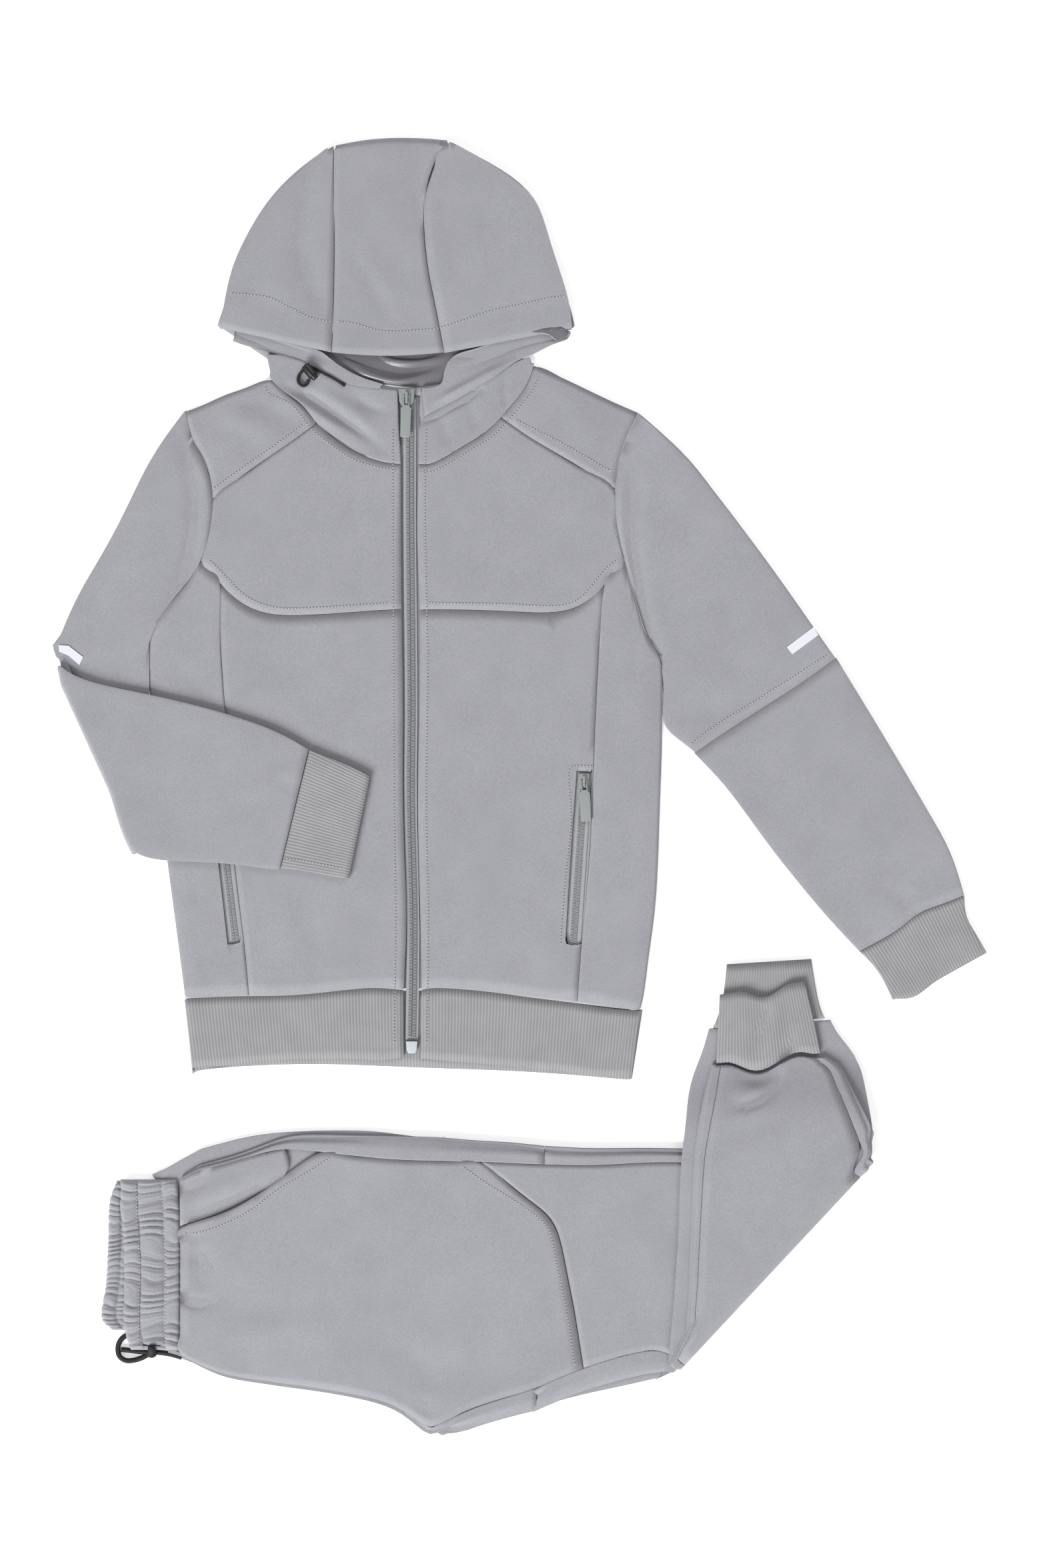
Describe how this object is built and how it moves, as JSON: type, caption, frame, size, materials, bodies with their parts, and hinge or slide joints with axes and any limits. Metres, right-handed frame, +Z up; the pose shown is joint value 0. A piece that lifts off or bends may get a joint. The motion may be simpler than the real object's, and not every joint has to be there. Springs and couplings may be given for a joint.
{
  "type": "tracksuit",
  "caption": "Hooded zip jacket and ribbed joggers of a plain soft tracksuit, laid flat: jacket with one sleeve folded across, joggers folded lengthwise with the shins turned up.",
  "frame": {"origin": "middle of the floor area that both garments cover, on the floor", "axes": "+X to the right of the laid-out set as seen from above, +Y towards the hood, +Z up off the floor"},
  "size_m": [0.6985, 0.971, 0.017],
  "materials": {
    "scuba_cloth": "matt smooth double-knit cloth, soft hand",
    "waistband_cloth": "the same cloth gathered over elastic",
    "rib_knit": "fine ribbed knit, matt",
    "lining": "satin lining, soft sheen",
    "zip_tape": "woven zip tape with a nylon coil",
    "zip_metal": "lacquered zinc, satin",
    "clear_plastic": "milky moulded plastic",
    "reflective_film": "silver heat-pressed film",
    "black_cord": "braided round cord",
    "black_plastic": "moulded cord lock, slight gloss"
  },
  "bodies": {
    "garments": {"jacket_back": "scuba_cloth", "yoke_left": "scuba_cloth", "yoke_right": "scuba_cloth", "chest_left": "scuba_cloth", "chest_right": "scuba_cloth", "front_left": "scuba_cloth", "front_right": "scuba_cloth", "side_left": "scuba_cloth", "side_right": "scuba_cloth", "hem_rib": "rib_knit", "sleeve_right_upper": "scuba_cloth", "sleeve_right_lower": "scuba_cloth", "cuff_right": "rib_knit", "sleeve_left_upper": "scuba_cloth", "sleeve_left_lower": "scuba_cloth", "cuff_left": "rib_knit", "hood_side_left": "scuba_cloth", "hood_side_right": "scuba_cloth", "hood_centre": "scuba_cloth", "hood_lining": "lining", "collar_left": "scuba_cloth", "collar_right": "scuba_cloth", "hood_lip_left": "scuba_cloth", "hood_lip_right": "scuba_cloth", "leg_far_thigh": "scuba_cloth", "back_near_thigh": "scuba_cloth", "back_near_knee": "scuba_cloth", "front_near": "scuba_cloth", "pocket_facing_near": "scuba_cloth", "knee_near": "scuba_cloth", "shin_near": "scuba_cloth", "shin_far_back": "scuba_cloth", "shin_far_front": "scuba_cloth", "cuff_near": "rib_knit", "cuff_far": "rib_knit", "waistband_near": "waistband_cloth", "waistband_far": "waistband_cloth", "zip_tape": "zip_tape", "zip_coil": "zip_tape", "zip_slider": "zip_metal", "zip_box": "clear_plastic", "pocket_zip_left": "zip_tape", "pocket_zip_right": "zip_tape", "pocket_slider_right": "zip_metal", "pocket_slider_left": "zip_metal", "bar_left": "reflective_film", "bar_right": "reflective_film", "hood_cord": "black_cord", "hood_cord_loop": "black_cord", "cord_lock": "black_plastic", "waist_cord": "black_cord", "waist_cord_bow": "black_cord", "waist_cord_knot": "black_cord"},
    "front_pull": {"zip_pull": "zip_metal"},
    "pocket_pull": {"pocket_pull_right": "zip_metal"}
  },
  "joints": [
    {"name": "front_pull_hinge", "type": "hinge", "parent": "garments", "child": "front_pull", "pos_m": [-0.0853, 0.2916, 0.0075], "axis": [-0.9994, 0.0349, 0], "range_deg": [0, 140]},
    {"name": "pocket_pull_hinge", "type": "hinge", "parent": "garments", "child": "pocket_pull", "pos_m": [0.0476, 0.0036, 0.0057], "axis": [-0.9986, -0.0523, 0], "range_deg": [0, 140]}
  ]
}
